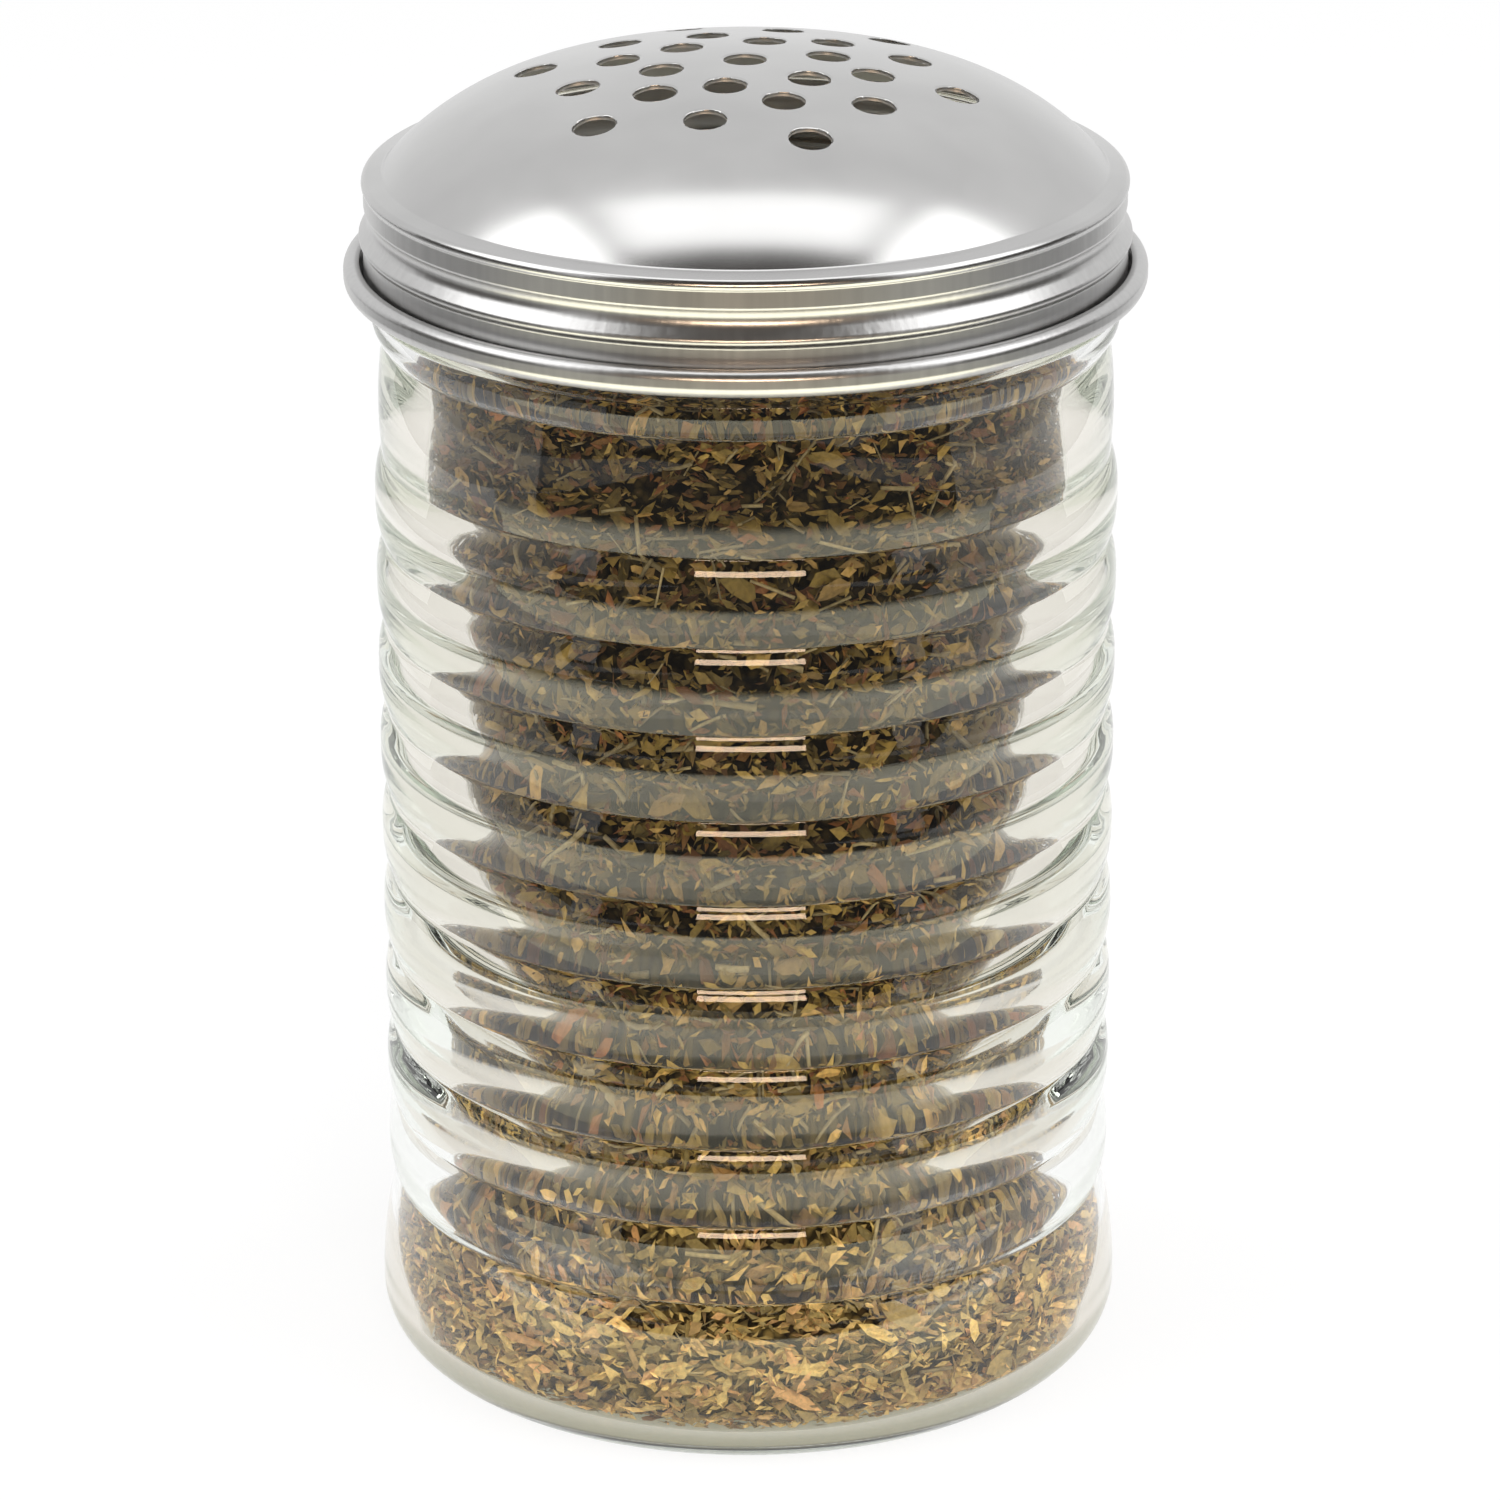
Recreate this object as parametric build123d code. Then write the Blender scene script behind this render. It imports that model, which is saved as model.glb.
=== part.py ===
from build123d import *
import os
from math import asin, cos, degrees, radians, sin, sqrt

# Table shaker: a pressed glass jar with round ribs, a screw-on lid stamped from one
# stainless sheet, and the dried herbs that fill the jar.
# Millimetres, +Z up, origin at the centre of the surface that the jar stands on.

# Glass jar, outside, from the foot up
body_radius = 36.6            # the valleys between the ribs, and the plain finish inside the lid
base_radius = 38.3            # widest point, just above the heel
heel_radius = 5.7             # rounding between the standing ring and the base band
base_height = 18.0            # foot of the lowest rib
standing_ring_width = 3.6
push_up = 0.7                 # hollow under the floor
rib_count = 9
rib_height = 8.4              # the lowest rib
rib_growth = 0.08             # each rib is this much taller than the one below
rib_bulge = 0.8
shoulder_height = 11.0
shoulder_bulge = 0.4          # how far the shoulder band stands out of its own chord
waist_step = 0.3              # the sharp line above the shoulder lies this far inside the body
flare_height = 3.6
flare_hollow = 0.2            # how far the flare is dished in
collar_reach = 0.8            # how far the collar stands out of the neck
collar_height = 0.9
collar_slope_height = 0.8     # from the collar in to the neck
neck_height = 12.0            # from the collar slope to the crown of the rim

# Glass jar, inside: a straight mouth, a thick ribbed wall and a wide thin foot
rim_wall = 3.6
bore_depth = 16.8             # straight part of the mouth, below the crown of the rim
rib_wall = 6.1                # behind the valleys of the upper ribs
rib_wall_height = 66.0        # where the mouth has narrowed to it
thick_wall = 7.8              # the thickest glass, behind the valleys of the lower ribs
thick_wall_height = 28.0
foot_wall = 2.7
foot_wall_height = 7.0
inside_corner_radius = 3.4
floor_thickness = 2.2         # with the hollow under it

# Lid, outer face of the sheet
sheet = 0.45
thread_room = 0.95            # between the neck and the skirt
lid_depth = 11.24             # from where the lid sits on the rim to the underside of the rolled edge
dome_crown_radius = 97.0
dome_crown_reach = 21.4       # where the flat crown turns into the rounder knuckle
dome_knuckle_radius = 28.0
seat_offset = 1.1             # the dome ends this far outside the middle of the rim
ledge_slope = 12.0            # degrees below level, between the dome and the bead
crease_bend = 0.5
bead_reach = 0.05             # how far the bead stands out of the skirt
bead_bend = 0.7
bead_undercut = 35.0          # degrees that the bead turns in below its widest point
bead_crease_bend = 0.3
bead_wall = 1.5
groove_slope = 35.0           # degrees off the vertical, into the groove and out of it
groove_edge_bend = 0.6
groove_bend = 1.6
band_reach = 0.4              # how far the band stands out of the skirt
band_edge_bend = 0.6
step_slope = 40.0             # degrees off the vertical, from the band in to the skirt
step_bend = 0.5
curl_reach = 2.0              # how far the rolled edge stands out of the skirt
curl_wall = 0.6
curl_lip_bend = 0.5
curl_lip_turn = 130.0         # degrees that the lip rolls in over the curl

# Shaker holes, one at the top and six on each ring, each ring turned half a step
hole_diameter = 4.3
hole_rings = 4
holes_per_ring = 6
hole_ring_spacing = 4.3       # along the dome
first_ring_at = 2             # spacings from the top hole to the first ring
hole_pattern_turn = 17.0
punch_length = 3.6            # of the cutter, through the sheet

# Herbs
fill_depth = 14.8             # where the herbs meet the glass, below the crown of the rim
fill_mound = 3.0              # how much higher they are heaped in the middle

# Clearances
seat_clearance = 0.25         # lid over the glass rim
fill_clearance = 0.3          # herbs inside the glass

# Headings of the lid's sheet, degrees from level
DOWN, UP = -90, 90


class SheetPath:
    """The outer face of a rolled sheet in section, walked as straight runs and bends.

    Headings are degrees from level, outwards. The metal lies on the right of the walk.
    """

    def __init__(self, radius, height, heading):
        self.here = Vector(radius, height)
        self.heading = heading
        self.steps = []

    def run(self, length):
        start = self.here
        self.here = start + Vector(cos(radians(self.heading)), sin(radians(self.heading))) * length
        self.steps.append([(start, self.heading), (self.here, self.heading)])

    def run_to_radius(self, radius):
        self.run((radius - self.here.X) / cos(radians(self.heading)))

    def run_to_height(self, height):
        self.run((height - self.here.Y) / sin(radians(self.heading)))

    def bend(self, radius, heading):
        side = 1 if heading > self.heading else -1
        centre = self.here + self.left(self.heading) * radius * side
        stations = []
        for turned in (self.heading, (self.heading + heading) / 2, heading):
            stations.append((centre - self.left(turned) * radius * side, turned))
        self.steps.append(stations)
        self.here, self.heading = stations[-1]

    def left(self, heading):
        return Vector(-sin(radians(heading)), cos(radians(heading)))

    def inner(self, station):
        point, heading = station
        return point - self.left(heading) * sheet

    def section(self):
        outer_edges = [self.edge([point for point, _ in step]) for step in self.steps]
        inner_edges = [self.edge([self.inner(station) for station in step]) for step in self.steps]
        first, last = self.steps[0][0], self.steps[-1][-1]
        ends = [Line(first[0], self.inner(first)), Line(last[0], self.inner(last))]
        return make_face(outer_edges + inner_edges + ends)

    def edge(self, points):
        return Line(*points) if len(points) == 2 else ThreePointArc(*points)


def turned_solid(section):
    """Revolve a section drawn as radius and height about the upright axis."""
    return revolve(Plane.XZ * section, Axis.Z)


def sideways(radius, heading):
    """How far out a bend of this radius carries the sheet until it points straight down."""
    return radius * (1 + sin(radians(heading)))


# Heights of the jar's features, from the foot up
rib_heights = [rib_height + rib_growth * index for index in range(rib_count)]
valley_heights = [base_height + sum(rib_heights[:index]) for index in range(rib_count + 1)]
waist_height = valley_heights[-1] + shoulder_height
collar_start = waist_height + flare_height
collar_end = collar_start + collar_height
neck_start = collar_end + collar_slope_height
rim_height = neck_start + neck_height
rim_round = rim_wall / 2
rim_shoulder_height = rim_height - rim_round
fill_height = rim_height - fill_depth

# Radii that follow from the body
waist_radius = body_radius - waist_step
collar_radius = body_radius + collar_reach
mouth_radius = body_radius - rim_wall
rim_middle_radius = body_radius - rim_round
skirt_radius = body_radius + thread_room + sheet
dome_edge_radius = rim_middle_radius + seat_offset


def bulged_arc(start, end, bulge):
    """Arc between two points of the jar's outline that stands out by the bulge half-way up."""
    middle = Vector((start[0] + end[0]) / 2 + bulge, (start[1] + end[1]) / 2)
    return ThreePointArc(start, middle, end)


def s_curve(start, end):
    """Two arcs down the inside wall that leave and arrive upright."""
    middle = ((start[0] + end[0]) / 2, (start[1] + end[1]) / 2)
    return [TangentArc(start, middle, tangent=(0, -1)), TangentArc(end, middle, tangent=(0, 1))]


def cavity_edges(top, gap):
    """The inside of the jar from this height in the mouth to the middle of the floor, drawn in by a gap."""
    mouth = (mouth_radius - gap, top)
    bore_end = (mouth_radius - gap, rim_height - bore_depth)
    upper_wall = (body_radius - rib_wall - gap, rib_wall_height)
    lower_wall = (body_radius - thick_wall - gap, thick_wall_height)
    foot_radius = base_radius - foot_wall - gap
    foot = (foot_radius, foot_wall_height)
    floor = floor_thickness + gap
    return [
        Line(mouth, bore_end),
        *s_curve(bore_end, upper_wall),
        *s_curve(upper_wall, lower_wall),
        *s_curve(lower_wall, foot),
        FilletPolyline(foot, (foot_radius, floor), (0, floor), radius=inside_corner_radius),
    ]


def glass_jar():
    ring_outer = base_radius - heel_radius
    ring_inner = ring_outer - standing_ring_width
    heel_end = (base_radius, heel_radius)
    first_valley = (body_radius, valley_heights[0])
    waist = (waist_radius, waist_height)
    outline = [
        TangentArc((0, push_up), (ring_inner, 0), tangent=(1, 0)),
        Line((ring_inner, 0), (ring_outer, 0)),
        TangentArc((ring_outer, 0), heel_end, tangent=(1, 0)),
        TangentArc(heel_end, first_valley, tangent=(0, 1)),
    ]
    for low, high in zip(valley_heights, valley_heights[1:]):
        outline.append(bulged_arc((body_radius, low), (body_radius, high), rib_bulge))
    outline += [
        bulged_arc((body_radius, valley_heights[-1]), waist, shoulder_bulge),
        bulged_arc(waist, (collar_radius, collar_start), -flare_hollow),
        Line((collar_radius, collar_start), (collar_radius, collar_end)),
        Line((collar_radius, collar_end), (body_radius, neck_start)),
        Line((body_radius, neck_start), (body_radius, rim_shoulder_height)),
        ThreePointArc(
            (body_radius, rim_shoulder_height),
            (rim_middle_radius, rim_height),
            (mouth_radius, rim_shoulder_height),
        ),
        *cavity_edges(rim_shoulder_height, 0),
        Line((0, floor_thickness), (0, push_up)),
    ]
    return turned_solid(make_face(outline))


def herb_fill():
    top = (0, fill_height + fill_mound)
    rim = (mouth_radius - fill_clearance, fill_height)
    outline = [
        *cavity_edges(fill_height, fill_clearance),
        TangentArc(top, rim, tangent=(1, 0)),
        Line(top, (0, floor_thickness + fill_clearance)),
    ]
    return turned_solid(make_face(outline))


def lid_path():
    """Walk the lid's sheet from the top of the dome to the lip of the rolled edge."""
    path = SheetPath(0, 0, 0)
    crown_slope = asin(dome_crown_reach / dome_crown_radius)
    knuckle_centre = (dome_crown_radius - dome_knuckle_radius) * sin(crown_slope)
    edge_slope = asin((dome_edge_radius - knuckle_centre) / dome_knuckle_radius)
    path.bend(dome_crown_radius, -degrees(crown_slope))
    path.bend(dome_knuckle_radius, -degrees(edge_slope))
    path.bend(crease_bend, -ledge_slope)
    ridge = path.inner(path.steps[-1][1])
    path.run_to_radius(skirt_radius + bead_reach - sideways(bead_bend, path.heading))
    path.bend(bead_bend, DOWN - bead_undercut)
    path.bend(bead_crease_bend, DOWN)
    path.run(bead_wall)
    path.bend(groove_edge_bend, DOWN - groove_slope)
    path.bend(groove_bend, DOWN + groove_slope)
    path.run_to_radius(skirt_radius + band_reach - sideways(band_edge_bend, path.heading))
    path.bend(band_edge_bend, DOWN - step_slope)
    path.run_to_radius(skirt_radius + sideways(step_bend, path.heading))
    path.bend(step_bend, DOWN)
    curl_bend = (curl_reach - sheet) / 2
    path.run_to_height(ridge.Y - lid_depth + sheet + curl_bend)
    path.bend(curl_bend, UP)
    path.run(curl_wall)
    path.bend(curl_lip_bend, UP + curl_lip_turn)
    return path, ridge


def shaker_lid():
    path, ridge = lid_path()
    lid = turned_solid(path.section())
    crown_centre = Pos(0, 0, -dome_crown_radius)
    punches = [crown_centre * Pos(0, 0, dome_crown_radius)]
    for ring in range(hole_rings):
        lean = degrees(hole_ring_spacing * (first_ring_at + ring) / dome_crown_radius)
        for index in range(holes_per_ring):
            turn = hole_pattern_turn + 360 / holes_per_ring * (index + ring / 2)
            punches.append(crown_centre * Rot(0, 0, turn) * Rot(0, lean, 0) * Pos(0, 0, dome_crown_radius))
    lid -= [punch * Cylinder(hole_diameter / 2, punch_length) for punch in punches]
    rim_drop = rim_round - sqrt(rim_round**2 - (ridge.X - rim_middle_radius) ** 2)
    return Pos(0, 0, rim_height - rim_drop + seat_clearance - ridge.Y) * lid


os.makedirs("parts", exist_ok=True)
for maker in (glass_jar, shaker_lid, herb_fill):
    solid = maker()
    box = solid.bounding_box()
    print(maker.__name__, "volume", round(solid.volume), "heights", round(box.min.Z, 2), round(box.max.Z, 2))
    export_step(solid, f"parts/{maker.__name__}.step")
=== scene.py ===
import math

import bpy
import numpy as np
from mathutils import Matrix, Vector
from mathutils.geometry import delaunay_2d_cdt


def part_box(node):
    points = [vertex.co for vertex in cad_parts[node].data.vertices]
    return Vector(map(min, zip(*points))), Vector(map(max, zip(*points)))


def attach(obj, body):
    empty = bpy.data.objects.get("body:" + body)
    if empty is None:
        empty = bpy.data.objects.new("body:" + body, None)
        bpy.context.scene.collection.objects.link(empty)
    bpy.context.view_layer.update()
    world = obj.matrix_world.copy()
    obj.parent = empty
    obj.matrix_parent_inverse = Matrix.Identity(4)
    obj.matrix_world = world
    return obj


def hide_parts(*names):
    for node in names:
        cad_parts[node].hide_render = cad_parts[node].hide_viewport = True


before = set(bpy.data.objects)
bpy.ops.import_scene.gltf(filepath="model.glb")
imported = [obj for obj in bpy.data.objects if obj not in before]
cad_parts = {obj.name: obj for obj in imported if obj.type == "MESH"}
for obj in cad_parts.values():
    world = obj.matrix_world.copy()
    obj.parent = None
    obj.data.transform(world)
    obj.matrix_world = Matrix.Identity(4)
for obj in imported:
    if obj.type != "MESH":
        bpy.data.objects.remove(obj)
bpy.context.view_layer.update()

# Table shaker: a ribbed glass jar, a polished lid with a pierced dome, and dried herbs.
# Sizes are millimetres until a mesh is made, and metres for the studio's lamps, floor and cards.
# Outlines are complex numbers, radius + 1j * height.
MM = 0.001

# Glass jar, outside, from the foot up
base_radius = 38.3
heel_radius = 5.7
base_height = 18.0            # foot of the lowest rib
standing_ring_width = 3.6
push_up = 0.7                 # hollow under the floor
rib_count = 9
rib_height = 8.4              # the lowest rib
rib_growth = 0.08             # each rib is this much taller than the one below
rib_valley_radius = 36.6
rib_bulge = 0.8
rib_fullness = 2.6            # 2 is about an arc, and more is flatter in the middle
shoulder_height = 11.9
shoulder_bulge = 0.4
waist_radius = 36.3           # the sharp line above the shoulder
flare_height = 2.7
flare_bulge = 0.3
collar_radius = 37.4
collar_height = 0.9
collar_slope_height = 0.8
neck_radius = 36.6
soft_edge = 0.1               # how far the glass rounds its valleys and edges

# Screw thread on the neck
thread_height = 0.3
thread_width = 1.5
thread_pitch = 4.2
thread_turns = 1.3
thread_runout = 0.08          # turns in which each end fades out
thread_start = 3.2            # above the foot of the neck

# Glass jar, inside
mouth_radius = 33.0
bore_foot = 107.98            # height where the mouth's bore starts to narrow
wall_top = 66.0               # where it has narrowed to the wall behind the upper ribs
wall_radius = 30.5
wave_height = 28.0            # the wall is thickest here
wave_radius = 28.8
foot_inside_height = 7.0
foot_inside_radius = 35.6
inside_corner_radius = 3.4
floor_thickness = 2.2
rib_echo_low = 0.45           # how far the inside wall follows the ribs, low down
rib_echo_high = 0.18          # and high up
rib_echo_start = 7.0          # the height in which it grows from nothing, at either end

# Glass
glass_ior = 1.52
glass_tint = (0.72, 0.80, 0.66)
glass_tint_density = 7.0
glass_dimming = (0.96, 0.96, 0.95)    # what each face lets through of the light on the herbs

# Lid, outer face of the sheet
sheet = 0.45
lid_height = 22.52
dome_crown_radius = 97.0
dome_crown_reach = 21.4       # where the flat crown turns into the rounder knuckle
dome_knuckle_radius = 28.0
dome_edge_radius = 35.9
ledge_slope = 12.0            # degrees below level, between the dome and the bead
crease_bend = 0.5
bead_radius = 38.05
bead_bend = 0.7
bead_undercut = 35.0          # degrees that the bead turns in below its widest point
bead_crease_bend = 0.3
bead_wall = 1.5
groove_slope = 35.0           # degrees off the vertical, into the groove and out of it
groove_edge_bend = 0.6
groove_bend = 1.6
band_radius = 38.4
band_edge_bend = 0.6
step_slope = 40.0             # degrees off the vertical, from the band in to the skirt
step_bend = 0.5
skirt_radius = 38.0
curl_radius = 40.0
curl_wall = 0.6
curl_lip_bend = 0.5
curl_lip_turn = 130.0         # degrees that the lip rolls in over the curl

# Shaker holes, placed on the dome laid flat
hole_diameter = 4.3
hole_rings = 4
holes_per_ring = 6
hole_ring_spacing = 4.3
first_ring_at = 2             # spacings from the top hole to the first ring
hole_pattern_turn = 17.0
hole_lip = 0.35               # how far the punch rolls the sheet over at a hole
hole_lip_drop = 0.1
pierced_reach = 27.0          # the part of the dome that is meshed round the holes

# Steel finish
dome_roughness = 0.17
skirt_roughness = 0.26
wear_roughness = 0.08         # added where the finish is worn most
dome_finish_depth = 11.5      # how far below the lid's top the dome's finish reaches
skirt_finish_depth = 12.5     # and where the skirt's begins
inside_matting = 0.35         # how much rougher the sheet's inner face is
inside_from = 118.0           # above the curl, which shows that face
inside_fade = 2.0             # the height in which it grows from nothing
steel_dark = (0.43, 0.428, 0.425)
steel_bright = (0.55, 0.547, 0.542)
# painted light: the sheet's inner face is paler, as if lit by the light that comes in through the holes
steel_inside_painted_light = (0.8, 0.79, 0.78)

# Herbs
fill_height = 110.98          # where the herbs meet the glass
fill_mound = 2.0              # how much higher they are heaped in the middle
fill_clearance = 0.3
settling = 1.5                # 0 lets pieces lie at random, and more lays them level
steepest_tilt = 1.45          # radians that a piece may lean from the heap's surface
leaf_count = 16000
scrap_count = 24000
crumb_count = 24000
stem_count = 2200
core_depth = 1.4
core_roughness = 0.8          # how far the core's surface is pitted
wall_from = 12.0              # within this radius the heap's outline is not its wall

# Herb flakes, which are leaves, scraps and crumbs
flake_depth = 1.7             # how deep they reach below the heap's surface
flake_crowding = 0.9          # below 1, more of them lie near the surface
flake_tilt = 0.7              # usual lean from the heap's surface, radians
flake_lengths = (0.6, 4.5)    # shortest and longest
flake_widths = (0.18, 0.52)   # shares of the length
flake_curl = 0.4              # usual hollow across
flake_bow = 0.16              # and along
flake_thickness = 0.09
flake_end_wobble = (0.8, 1.12)        # how uneven the edge is, along
flake_side_wobble = (0.75, 1.25)      # and across
flake_sizes = ((14, 1.3), (24, 1.0))  # height in the jar and size there
leaf_shades = (0.45, 1.5)             # darkest and palest of one kind
leaf_painted_shade = (                     # height in the jar and brightness there, as painted light and shade: paler low down, darker up under the lid, pale again at the very top
    (0, 1.6), (12, 1.8), (20, 1.3), (30, 1.0), (40, 0.95),
    (48, 0.7), (60, 0.6), (80, 0.56), (104, 0.45), (107.5, 0.95),
)
leaf_kinds = (                        # share and colour
    (0.27, (0.270, 0.170, 0.031)),    # olive
    (0.25, (0.465, 0.292, 0.063)),    # khaki
    (0.14, (0.570, 0.336, 0.088)),    # tan
    (0.15, (0.250, 0.110, 0.023)),    # brown
    (0.09, (0.360, 0.135, 0.036)),    # reddish
    (0.10, (0.126, 0.082, 0.014)),    # dark green
)
low_tone = (0.335, 0.246, 0.104)  # the tone that all kinds come near low down
low_tone_shares = ((14, 0.5), (40, 0.0))       # height in the jar and share of that tone

# Herb stems
stem_depths = (0.1, 1.3)
stem_tilt = 0.3
stem_usual_length = 2.7
stem_length_spread = 0.4
stem_lengths = (1.2, 7.0)
stem_radii = (0.07, 0.24)
stem_bend = 0.05
stem_taper = 0.3
straw = (0.42, 0.31, 0.135)
straw_shades = (0.45, 1.25)
straw_painted_shade = ((40, 1.0), (70, 0.7))       # height in the jar and brightness there, as painted shade that darkens the stems higher up

# Camera, fitted to the jar's outline, rib lines and the lid's holes
camera_place = Vector((0.3, -639.3, 306.9))
camera_pitch = 0.3642
camera_roll = -0.0027
focal_pixels = 6690.4
frame_pixels = 1500.0
sensor_width = 36.0

# Studio lights
world_level = 0.42
side_power = 4.4
top_power = 1.7
key_power = 4.5
lamp_aim = Vector((0, 0, 0.07))

# Studio floor
floor_reach = 3.0
floor_paint = (0.88, 0.88, 0.88)
floor_light = 1.12
floor_whiteness = 0.7         # how far that light takes the place of the paint where it is seen
floor_beige = (0.76, 0.71, 0.62)      # the floor round the jar, as the glass shows it
beige_near = 0.07
beige_far = 0.8
beige_far_share = 0.5
foot_shade = (0.33, 0.32, 0.21)       # the floor under the jar, as its foot shows it
foot_shade_full = 0.034
foot_shade_end = 0.044

# Studio cards
room_colour = (0.06, 0.055, 0.05)
table_colour = (0.12, 0.115, 0.11)
window_colour = (15.0, 11.0, 7.7)
side_colour = (0.6, 0.6, 0.6)
sweep_colour = (2.4, 2.32, 1.85)
sweep_far = 0.3
sweep_levels = (              # share of the far distance from the jar, and brightness there
    (0, 0.4), (0.2, 0.4), (0.26, 0.95), (0.53, 1.1), (0.76, 1.25), (0.94, 0.05), (1, 0.05),
)
paper_far = 1.0
paper_levels = ((0, 0.05), (0.29, 0.05), (0.36, 0.4), (0.5, 1), (1, 1))
LYING = (0, 0, 0)
FACING_JAR = (math.pi / 2, 0, 0)
FACING_ACROSS = (math.pi / 2, 0, math.pi / 2)

# Fineness of the meshes
OUTLINE_STEP = 0.08           # between the points of an outline, before it is thinned out
THIN_TURN = math.radians(2.2)
THIN_REACH = 1.6
NECK_STEP = 0.25              # between the rings that carry the thread
TURNED_SEGMENTS = 144
BEND_TURN = math.radians(7)   # between the points of the lid's bends
BEND_STEP = 0.9
HOLE_POINTS = 40
DISC_STEP = 1.0               # between the points of the pierced disc
DISC_MARGIN = 0.6             # from its edge
HOLE_MARGIN = 0.35            # from the rolled rim of a hole
HOLE_SLACK = 0.02             # by which a triangle at a hole's edge may reach into it
RING_GAP = 0.3                # between the pierced disc and the first turned ring
LIP_TURNS = range(30, 180, 30)         # degrees round the sheet's cut edge
STEM_SIDES = 5
STEM_RINGS = 5
CORE_STRIDE = 6
CORE_REACH = 2.5
CORE_SEGMENTS = 72
STEM_SEED = 11
CORE_SEED = 3
BOUNCE_LIMIT = 24

WHITE = (1, 1, 1, 1)
TINY = 1e-6


def arc(start, end, sweep):
    """Points along the arc from start to end that turns by this angle, without its end."""
    centre = start - (end - start) / (np.exp(1j * sweep) - 1)
    count = max(2, math.ceil(abs(sweep * (start - centre)) / OUTLINE_STEP))
    return centre + (start - centre) * np.exp(1j * sweep * np.arange(count) / count)


def bulged(start, end, bulge):
    """Arc that stands out of its chord by the bulge, on the right of the way it runs."""
    return arc(start, end, 4 * math.atan(2 * bulge / abs(end - start)))


def leaving(start, direction, end):
    """Arc that leaves its start in this direction."""
    return arc(start, end, 2 * np.angle((end - start) / direction))


def s_curve(start, end):
    """Two arcs that leave and arrive upright, without their end."""
    middle = (start + end) / 2
    first = leaving(start, 1j * np.sign((end - start).imag), middle)
    return np.concatenate([first, [middle], (start + end - first)[:0:-1]])


def straight(start, end):
    """Points along a straight run, without its end."""
    count = max(1, math.ceil(abs(end - start) / OUTLINE_STEP))
    return start + (end - start) * np.arange(count) / count


def soften(outline, reach):
    """Round the corners of an evenly stepped outline."""
    half = math.ceil(3 * reach / OUTLINE_STEP)
    weights = np.exp(-0.5 * (np.arange(-half, half + 1) * OUTLINE_STEP / reach) ** 2)
    padded = np.pad(outline, half, mode="reflect", reflect_type="odd")
    return np.convolve(padded, weights / weights.sum(), mode="valid")


def thin_out(outline, reach=THIN_REACH):
    """Drop points where the outline is nearly straight, and keep one at least this often."""
    kept = [outline[0]]
    way = outline[1] - outline[0]
    for here, ahead in zip(outline[1:-1], outline[2:]):
        if abs(np.angle((ahead - here) / way)) > THIN_TURN or abs(here - kept[-1]) > reach:
            kept.append(here)
            way = ahead - here
    return np.array(kept + [outline[-1]])


def in_space(flat, heights):
    """Points over places on the ground plan, which are complex numbers x + 1j * y."""
    return np.stack([flat.real, flat.imag, heights], -1)


def unit(vectors):
    return vectors / np.linalg.norm(vectors, axis=-1, keepdims=True)


def at_height(heights, levels):
    """Values between levels that are pairs of a height and a value."""
    return np.interp(heights, *zip(*levels))


def turned(outline, segments):
    """Corners of a ring for each point of an outline, ring by ring."""
    around = np.exp(2j * np.pi * np.arange(segments) / segments)
    flat = outline.real[:, None] * around
    heights = np.repeat(outline.imag[:, None], segments, 1)
    return in_space(flat, heights).reshape(-1, 3)


def ring_quads(first_ring, next_ring):
    """Quads between two rings of corner numbers."""
    return np.stack([first_ring, np.roll(first_ring, -1), np.roll(next_ring, -1), next_ring], -1)


def shell_quads(rings):
    """Quads from each ring of corner numbers to the next."""
    return [quad for low, high in zip(rings, rings[1:]) for quad in ring_quads(low, high).tolist()]


def turned_solid(outline, segments):
    """Corners and faces of a solid whose outline starts and ends on the axis."""
    corners = turned(outline[1:-1], segments)
    rings = np.arange(len(corners)).reshape(-1, segments)
    foot, top = len(corners), len(corners) + 1
    faces = shell_quads(rings)
    faces += [(foot, after, here) for here, after in zip(rings[0].tolist(), np.roll(rings[0], -1).tolist())]
    faces += [(top, here, after) for here, after in zip(rings[-1].tolist(), np.roll(rings[-1], -1).tolist())]
    poles = [(0, 0, outline[0].imag), (0, 0, outline[-1].imag)]
    return np.concatenate([corners, poles]), faces


def new_piece(name, corners, faces, material, body):
    """A smooth mesh in metres that rides on a body and takes its finish from a slot."""
    mesh = bpy.data.meshes.new(name)
    mesh.from_pydata((np.asarray(corners) * MM).tolist(), [], faces)
    mesh.polygons.foreach_set("use_smooth", [True] * len(mesh.polygons))
    mesh.materials.append(material)
    piece = bpy.data.objects.new(name, mesh)
    bpy.context.scene.collection.objects.link(piece)
    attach(piece, body)
    return piece


class Graph:
    """The shader nodes of a material or of the world."""

    def __init__(self, owner):
        owner.use_nodes = True
        self.nodes = owner.node_tree.nodes
        self.links = owner.node_tree.links

    def add(self, kind, values=None, operation=None, data_type=None):
        """A node of this kind, with values for its inputs by name or number."""
        node = self.nodes.new(kind)
        if operation:
            node.operation = operation
        if data_type:
            node.data_type = data_type
        set_inputs(node, values or {})
        return node

    def link(self, source, output, target, entry):
        self.links.new(source.outputs[output], target.inputs[entry])


def set_inputs(node, values):
    for name, value in values.items():
        node.inputs[name].default_value = value


# Heights of the jar's and the lid's features
rib_heights = [rib_height + rib_growth * index for index in range(rib_count)]
valley_heights = [base_height + sum(rib_heights[:index]) for index in range(rib_count + 1)]
waist_height = valley_heights[-1] + shoulder_height
collar_start = waist_height + flare_height
collar_end = collar_start + collar_height
neck_start = collar_end + collar_slope_height
rim_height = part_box("glass_jar")[1].z / MM
rim_round = (neck_radius - mouth_radius) / 2
rim_shoulder = rim_height - rim_round
lid_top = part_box("shaker_lid")[1].z / MM


def rib(low, high):
    """A rib that stands out between two valleys, without its end."""
    across = np.linspace(-1, 1, math.ceil(abs(high - low) / OUTLINE_STEP), endpoint=False)
    return low + (high - low) * (across + 1) / 2 + rib_bulge * (1 - abs(across) ** rib_fullness)


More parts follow.
